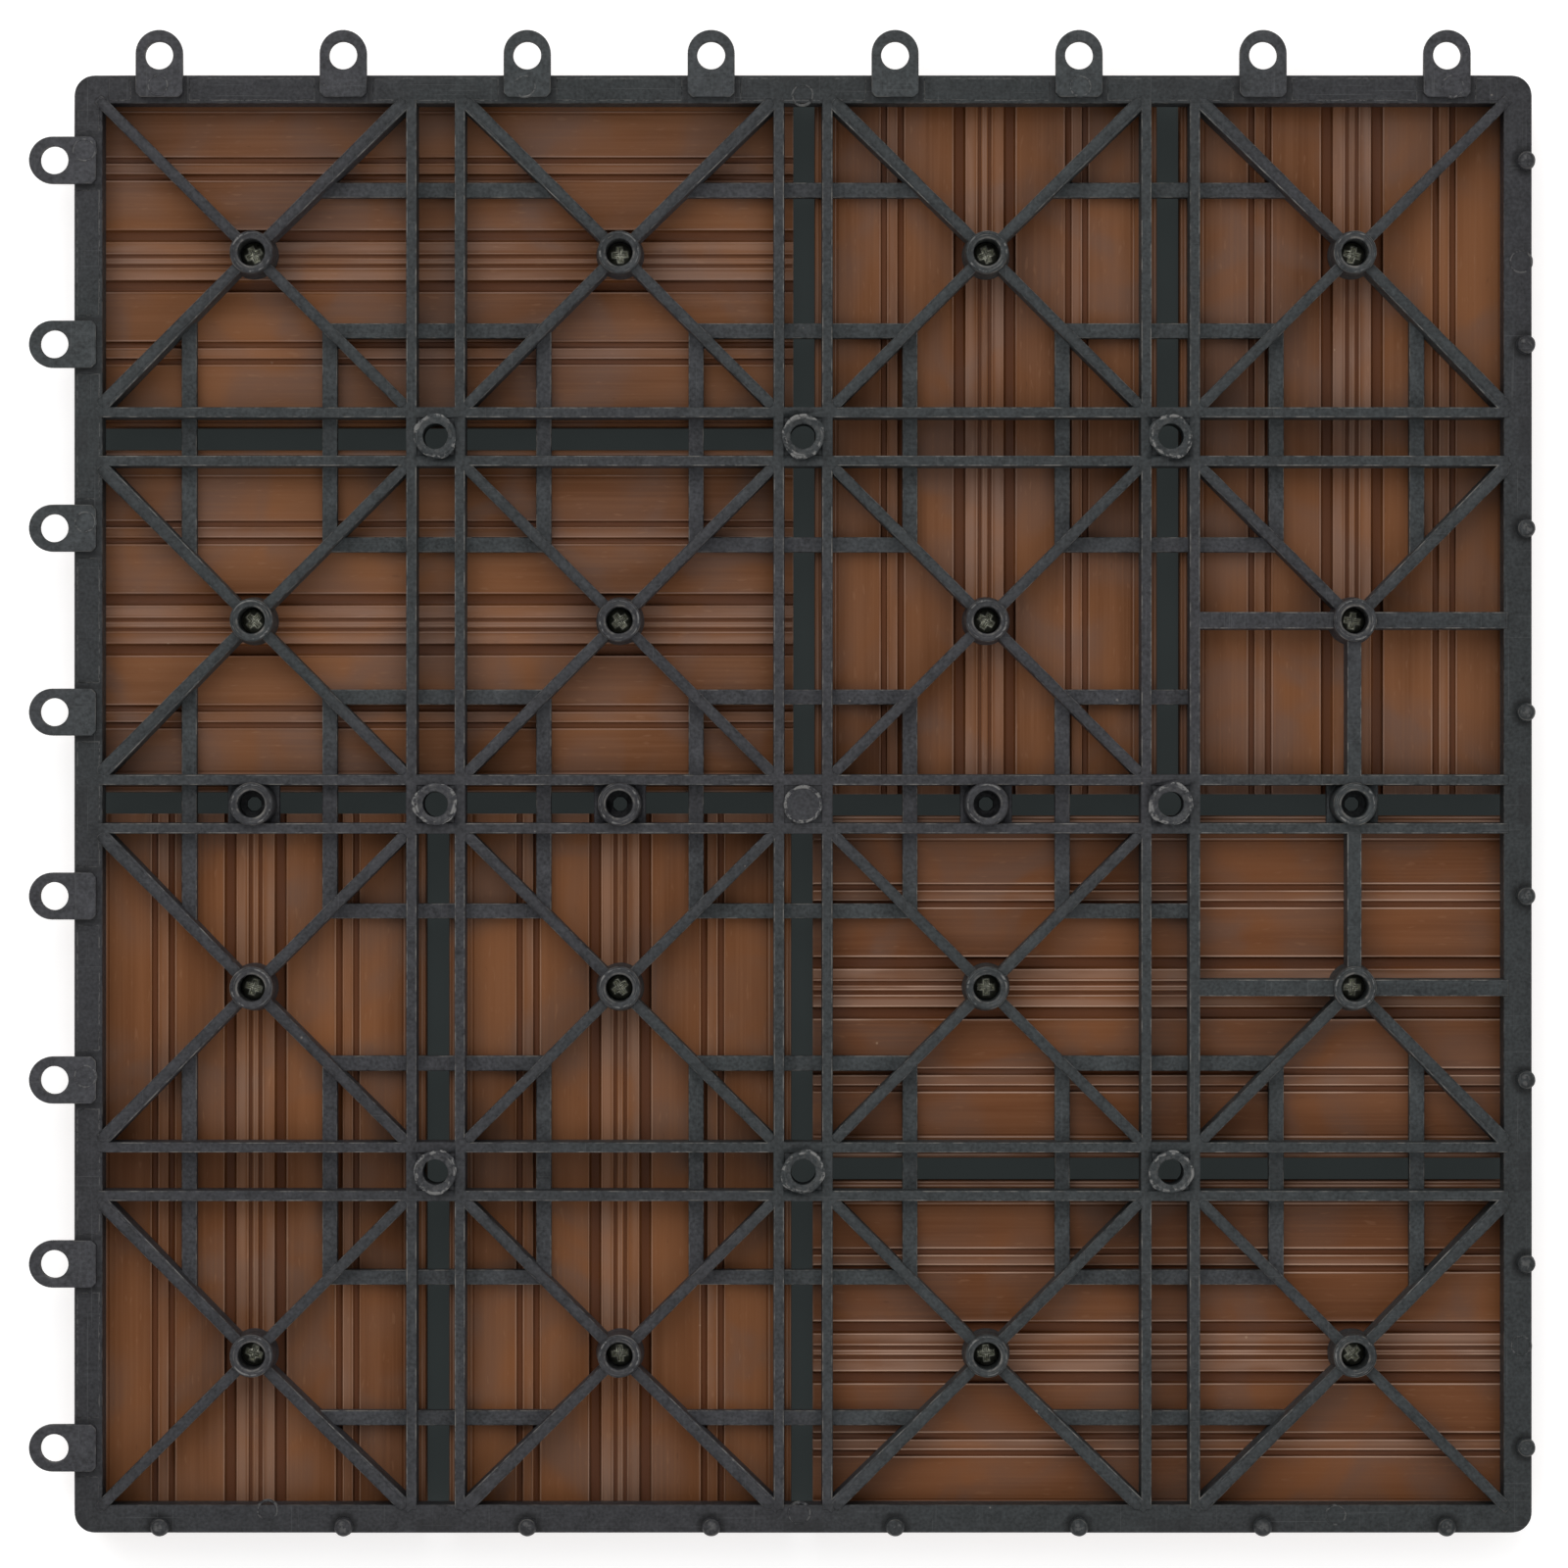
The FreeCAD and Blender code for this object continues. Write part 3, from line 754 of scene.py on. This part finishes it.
grid_shell()
rings_piece("boss_sleeves", boss_forms(), plastic)
tubes = rings_piece("tube_sleeves", tube_forms(), plastic)
set_values(tubes.data, "pale_flash", np.where(mesh_points(tubes.data)[:, 2] > 21.2, 0.18, 0.0))
rings_piece("tip_flash", flash_forms(), plastic, 72, 35.0, 1.0)
rings_piece("pin_tips", pin_forms(), plastic, 32)
rings_piece("blind_disc", disc_forms(), plastic, 64, 35.0, 0.10)
rings_piece("ejector_marks", mark_forms(), plastic, 40, 35.0, 0.40)
make_crowns()
make_lands()


# Grooves of the underside by distance from the middle: place, half width, depth and
# how much painted shade they get
UNDER_GROOVES = [(5.15, 1.25, 1.2, 1.0), (17.2, 0.66, 0.7, 1.0), (20.65, 0.64, 0.7, 1.0),
                 (1.0, 0.38, 0.45, 0.9), (30.2, 0.20, 0.20, 0.4), (33.0, 0.25, 0.35, 0.6)]
# Raised lips along the grooves: place, half width
UNDER_LIPS = [(3.72, 0.24), (6.50, 0.24), (16.35, 0.22), (18.05, 0.22), (19.85, 0.22),
              (21.45, 0.22), (0.3, 0.2), (1.6, 0.2), (30.6, 0.22), (34.2, 0.3), (34.95, 0.3)]
LIP_HEIGHT = 0.10
# Painted highlight bands: from, to and how pale
HIGHLIGHT_BANDS = [(0.0, 0.45, 0.45), (2.0, 3.5, 0.45), (18.05, 19.5, 0.26)]
# How light each slat is, partly its own tone and partly painted light; how strong the
# painted highlights of its lips and bands are; and how strong the painted shade of its grooves
# is
SLAT_TONES = {
    "north_west_outer": (0.84, 0.45, 0.42, 0.9), "north_west_inner": (0.87, 0.45, 0.42, 0.9),
    "north_east_inner": (0.83, 0.45, 0.42, 1.0), "north_east_outer": (0.83, 0.45, 0.42, 1.0),
    "south_west_outer": (0.87, 0.45, 0.42, 1.0), "south_west_inner": (0.83, 0.48, 0.44, 1.0),
    "south_east_inner": (0.77, 1.75, 0.80, 0.8), "south_east_outer": (0.77, 1.75, 0.80, 0.8),
}
# How far the grooves of each slat stand off its middle
GROOVE_SHIFTS = {
    "north_west_outer": -1.1, "north_west_inner": -0.7,
    "north_east_inner": -0.25, "north_east_outer": 0.15,
    "south_west_outer": -0.15, "south_west_inner": 0.0,
    "south_east_inner": 0.25, "south_east_outer": 0.05,
}
# Share of green and of blue that the slats of each quarter keep
QUARTER_HUES = {"north_east": (0.99, 1.0), "north_west": (1.01, 1.04),
                "south_west": (0.96, 0.90), "south_east": (0.93, 0.87)}
SLAT_HALF = 35.1
SLAT_START = 2.0
SLAT_END = 146.9
# How far a slat bows, and how far its cut ends are from the next ring of points, which
# keeps the values of the underside off them
BOW = 0.04
END_RING = 0.03
# Share of a groove's half width that slopes
GROOVE_SLOPE = 0.4
WALK_GROOVES = 7
WALK_PITCH = 9.0
WALK_HALF = 1.8
WALK_DEPTH = 0.85


def groove_depth(across, place, half, depth):
    """Depth of one groove at each distance across: a rounded slope over the outer part
    of its half width, and full inside it."""
    share = np.clip((half - np.abs(across - place)) / (GROOVE_SLOPE * half), 0, 1)
    return np.where(share > 0, depth * np.sin(share * math.pi / 2), -1.0)


def slat_profile(shift):
    """The closed outline of a slat as (across, z). The underside lies a lip's height
    below the slat's thickness, with a lip raised by half a cosine at each groove's
    edges and the grooves cut from it, the same on both sides of a line that stands off
    the middle by shift. The corners are rounded, and the walking face has seven V
    grooves."""
    fine = np.arange(-34.7, 34.71, 0.05)
    away = np.abs(fine - shift)
    level = GRID_Z - LIP_HEIGHT - 0.02
    under = np.full(fine.shape, level)
    for place, half in UNDER_LIPS:
        rise = np.cos(np.clip((away - place) / half, -1, 1) * math.pi / 2)
        under = np.maximum(under, level + LIP_HEIGHT * rise)
    for place, half, depth, _ in UNDER_GROOVES:
        under = np.minimum(under, GRID_Z - groove_depth(away, place, half, depth))
    steep = np.abs(np.diff(under)) > 0.004
    keep = np.ones(fine.shape, bool)
    keep[1:-1] = steep[:-1] | steep[1:]
    keep |= np.arange(fine.size) % 16 == 0
    top = np.stack([fine[keep], under[keep]], -1)[::-1]
    corner = [(-34.95, 9.9), (-SLAT_HALF, 9.7), (-SLAT_HALF, 1.0), (-34.95, 0.55),
              (-34.6, 0.15), (-34.2, 0.0)]
    walk = []
    for i in range(WALK_GROOVES):
        centre = WALK_PITCH * (i - WALK_GROOVES // 2)
        walk += [(centre - WALK_HALF, 0.0), (centre - 0.15, WALK_DEPTH),
                 (centre + 0.15, WALK_DEPTH), (centre + WALK_HALF, 0.0)]
    far = [(-x, z) for x, z in corner[::-1]]
    return np.concatenate([top, corner, walk, far])


def groove_shade_share(away):
    """How much painted shade the underside gets at each distance from the middle: a
    groove's own share inside it, with soft sides, and 0 outside the grooves."""
    shares = [dark * np.clip((half - np.abs(away - place)) / (GROOVE_SLOPE * half), 0, 1)
              for place, half, _, dark in UNDER_GROOVES]
    return np.max(shares, axis=0)


def lip_highlight_share(away):
    """How much painted highlight the underside gets at each distance from the middle: 1 on
    the crest of a lip, and less beside it."""
    shares = [np.clip(1 - np.abs(away - place) / half, 0, 1) for place, half in UNDER_LIPS]
    return np.max(shares, axis=0)


def band_highlight_share(away):
    """How much painted highlight the underside gets at each distance from the middle, for its
    pale bands.
    """
    shares = [np.where((away >= low) & (away <= high), share, 0)
              for low, high, share in HIGHLIGHT_BANDS]
    return np.max(shares, axis=0)


def make_slat(name, across_place, degrees, hue, seed):
    """A slat: its outline carried along it, bowed a little, and turned with its quarter
    of the tile. Its points carry its tint, partly painted light, and where its painted
    groove shade and lip highlights are."""
    tone, lip_highlight_gain, band_highlight_gain, groove_shade_gain = SLAT_TONES[name]
    shift = GROOVE_SHIFTS[name]
    outline = slat_profile(shift)
    count = len(outline)
    inner = np.linspace(SLAT_START + 0.25, SLAT_END - 0.25, 20)
    along = np.concatenate([[SLAT_START, SLAT_START + END_RING], inner,
                            [SLAT_END - END_RING, SLAT_END]])
    start = np.random.default_rng(seed).uniform(0, 6)
    sag = BOW * np.sin(along / 23.0 + start) - BOW
    x = np.broadcast_to(outline[None, :, 0], (along.size, count)).copy()
    z = np.broadcast_to(outline[None, :, 1], (along.size, count))
    z = np.where(z > 5.0, z + sag[:, None], z)
    ends = [0, 1, -2, -1]
    z[ends] = np.clip(z[ends], 0.2, GRID_Z - 0.25)
    x[ends] *= 0.996
    y = np.broadcast_to(along[:, None], x.shape)
    turn = math.radians(degrees)
    world_x = (x + across_place) * math.cos(turn) - y * math.sin(turn)
    world_y = (x + across_place) * math.sin(turn) + y * math.cos(turn)
    points = np.stack([world_x, world_y, z], -1).reshape(-1, 3)
    mesh = make_piece("composite_" + name, points, capped(along.size, count), composite,
                      "slat_" + name, 40.0).data
    place = mesh_points(mesh)
    back_x = place[:, 0] * math.cos(turn) + place[:, 1] * math.sin(turn)
    back_y = place[:, 1] * math.cos(turn) - place[:, 0] * math.sin(turn)
    away = np.abs(back_x - across_place - shift)
    groove = np.where(place[:, 2] > 5.0, groove_shade_share(away), 0)
    at_end = (back_y < SLAT_START + 0.1) | (back_y > SLAT_END - 0.1)
    lip = np.maximum(lip_highlight_share(away) * lip_highlight_gain, band_highlight_share(away) * band_highlight_gain)
    underside = (place[:, 2] > 9.4) & (np.abs(back_x - across_place) < 35.0)
    lip = np.where(underside, np.where(at_end, 0.35, lip), 0)
    on_cut = (back_y < SLAT_START + END_RING / 2) | (back_y > SLAT_END - END_RING / 2)
    groove[on_cut] = 0
    lip[on_cut] = 0
    corners = np.empty(len(mesh.loops), np.int32)
    mesh.loops.foreach_get("vertex_index", corners)
    lines = np.stack([back_x * MM + 0.3 * seed, back_y * MM + 0.17 * seed], -1)[corners]
    layer = mesh.uv_layers.new(name="slat_lines")
    layer.data.foreach_set("uv", lines.astype(np.float32).ravel())
    tint = np.tile([tone, tone * hue[0], tone * hue[1], 1.0], (len(place), 1))
    colours = mesh.attributes.new("slat_tint", "FLOAT_COLOR", "POINT")
    colours.data.foreach_set("color", tint.astype(np.float32).ravel())
    set_values(mesh, "slat_groove_shade", groove * groove_shade_gain)
    set_values(mesh, "slat_lip_highlight", lip)


quarters = {"north_east": 0, "north_west": 90, "south_west": 180, "south_east": 270}
for number, (quarter, degrees) in enumerate(quarters.items()):
    for part, across in (("inner", CELL[2]), ("outer", CELL[3])):
        name = quarter + "_" + part
        make_slat(name, across, degrees, QUARTER_HUES[quarter], 2 * number + (part == "outer"))


HEAD_RADIUS = 2.4
HEAD_Z = 12.8
ARM_HALF = 0.42
ARM_REACH = 1.5


def cross_offset(x, y, angle):
    """How far a point is outside a cross turned by angle: negative within its arms."""
    u = x * math.cos(angle) + y * math.sin(angle)
    v = y * math.cos(angle) - x * math.sin(angle)
    arm = np.minimum(np.abs(u), np.abs(v)) - ARM_HALF
    reach = np.maximum(np.abs(u), np.abs(v)) - ARM_REACH
    return np.maximum(arm, reach)


def screw_head(centre, angle, rings=20, sides=72):
    """A pan head with a cross recess. Height over (r, a) is the dome's, less the recess
    where the point lies within either arm of a cross turned by angle."""
    radius = np.linspace(0.06, HEAD_RADIUS, rings)[:, None]
    turn = np.linspace(0, 2 * math.pi, sides, endpoint=False)[None, :]
    x = radius * np.cos(turn)
    y = radius * np.sin(turn)
    dome = HEAD_Z - 0.45 * (radius / HEAD_RADIUS) ** 2.5
    z = dome - 0.9 * np.clip(-cross_offset(x, y, angle) / 0.12, 0, 1)
    points = np.stack([x + centre[0], y + centre[1], z], -1).reshape(-1, 3)
    wall = turned_rings([(2.45, 12.1), (2.45, 11.25)], centre, 0, sides)
    return np.concatenate([points, wall]), rings + 2, sides


def make_screws():
    """The sixteen screw heads as one mesh, each with its cross turned its own way. The
    attribute of the recess edge, a painted glint, is 1 on the edge of each cross and fades out
    beside it."""
    rng = np.random.default_rng(5)
    points, faces, first = [], [], 0
    turns = {}
    for x in CELL:
        for y in CELL:
            turns[x, y] = rng.uniform(0, math.pi / 2)
            head, rows, sides = screw_head((x, y), turns[x, y])
            points.append(head)
            faces.extend(capped(rows, sides, first))
            first += rows * sides
    piece = make_piece("screw_heads", np.concatenate(points), faces, steel,
                       "slat_screws", 30.0)
    place = mesh_points(piece.data)
    edge = np.zeros(len(place))
    for (x, y), angle in turns.items():
        near = np.hypot(place[:, 0] - x, place[:, 1] - y) < 3.0
        offset = cross_offset(place[:, 0] - x, place[:, 1] - y, angle)
        edge = np.where(near, np.clip(1.5 - np.abs(offset) / 0.24, 0, 1), edge)
    set_values(piece.data, "recess_edge_glint", edge)


make_screws()


def clear_ray(tree):
    """1 for the rays that show what they meet: those of the camera, of reflections and
    of transmission."""
    path = tree.nodes.new("ShaderNodeLightPath")
    kinds = ("Is Camera Ray", "Is Glossy Ray", "Is Transmission Ray")
    return largest(tree, *(path.outputs[kind] for kind in kinds))


def floor_material():
    """A pale floor. Camera rays and reflections see it white round the tile and an even
    dark grey in the gaps between its slats; other rays see its plain colour. Under the
    tile its colour and its glow are a painted dark grey: painted shade for the gaps."""
    material, tree, shader, place = new_material("pale_floor")
    reach = square_reach(tree, add(tree, "ShaderNodeSeparateXYZ", {0: place}))
    outside = fade_mm(tree, reach, SLAT_END - 0.4, SLAT_END + 0.6)
    # Under the tile a painted dark grey, which stands for the shade in the gaps
    colour = blend(tree, outside, (0.030, 0.036, 0.036), (0.85, 0.85, 0.85))
    tree.links.new(colour, shader.inputs["Base Color"])
    shader.inputs["Roughness"].default_value = 0.9
    shader.inputs["Specular IOR Level"].default_value = 0.0
    far = fade(tree, reach, 0.8, 3.0)
    pale = blend(tree, far, (0.5, 0.5, 0.5), (0.62, 0.62, 0.62))
    # The glow under the tile is a painted dark grey too
    glow = blend(tree, outside, (0.0185, 0.0220, 0.0220), pale)
    tree.links.new(glow, shader.inputs["Emission Color"])
    tree.links.new(clear_ray(tree), shader.inputs["Emission Strength"])
    return material


def make_floor():
    """A flat floor under the tile, wide enough for every view."""
    mesh = bpy.data.meshes.new("floor")
    half = 40.0
    corners = [(-half, -half, 0), (half, -half, 0), (half, half, 0), (-half, half, 0)]
    mesh.from_pydata(corners, [], [(0, 1, 2, 3)])
    floor = bpy.data.objects.new("floor", mesh)
    bpy.context.scene.collection.objects.link(floor)
    floor.location.z = -0.0002
    mesh.materials.append(floor_material())


def make_light():
    """Even grey light all round, white to the camera and in reflections, one broad soft
    lamp from above the tile's upper edge, and a weaker one across from it."""
    world = bpy.data.worlds.new("studio")
    world.use_nodes = True
    bpy.context.scene.world = world
    tree = world.node_tree
    back = tree.nodes["Background"]
    strength = maths(tree, "ADD", product(tree, clear_ray(tree), 0.5), 0.5)
    back.inputs["Color"].default_value = (1.0, 1.0, 1.0, 1.0)
    tree.links.new(strength, back.inputs["Strength"])
    for name, place, size, power in (("lamp_upper", (-0.35, 0.95, 1.5), 1.5, 14.5),
                                     ("lamp_lower", (0.6, -0.9, 1.5), 1.4, 6.0)):
        lamp = bpy.data.lights.new(name, "AREA")
        lamp.size = size
        lamp.energy = power
        holder = bpy.data.objects.new(name, lamp)
        bpy.context.scene.collection.objects.link(holder)
        holder.location = place
        holder.rotation_euler = (-Vector(place)).to_track_quat("-Z", "Y").to_euler()


def make_camera():
    """The photograph's camera: straight above, 1.66 m up, with a long lens."""
    camera = bpy.data.cameras.new("camera")
    camera.lens = 185.0
    camera.sensor_width = 36.0
    camera.clip_start = 0.01
    camera.clip_end = 100.0
    holder = bpy.data.objects.new("camera", camera)
    bpy.context.scene.collection.objects.link(holder)
    holder.location = (-0.0039, 0.0041, 1.6636)
    bpy.context.scene.camera = holder


make_floor()
make_light()
make_camera()
bpy.context.scene.view_settings.view_transform = "Standard"
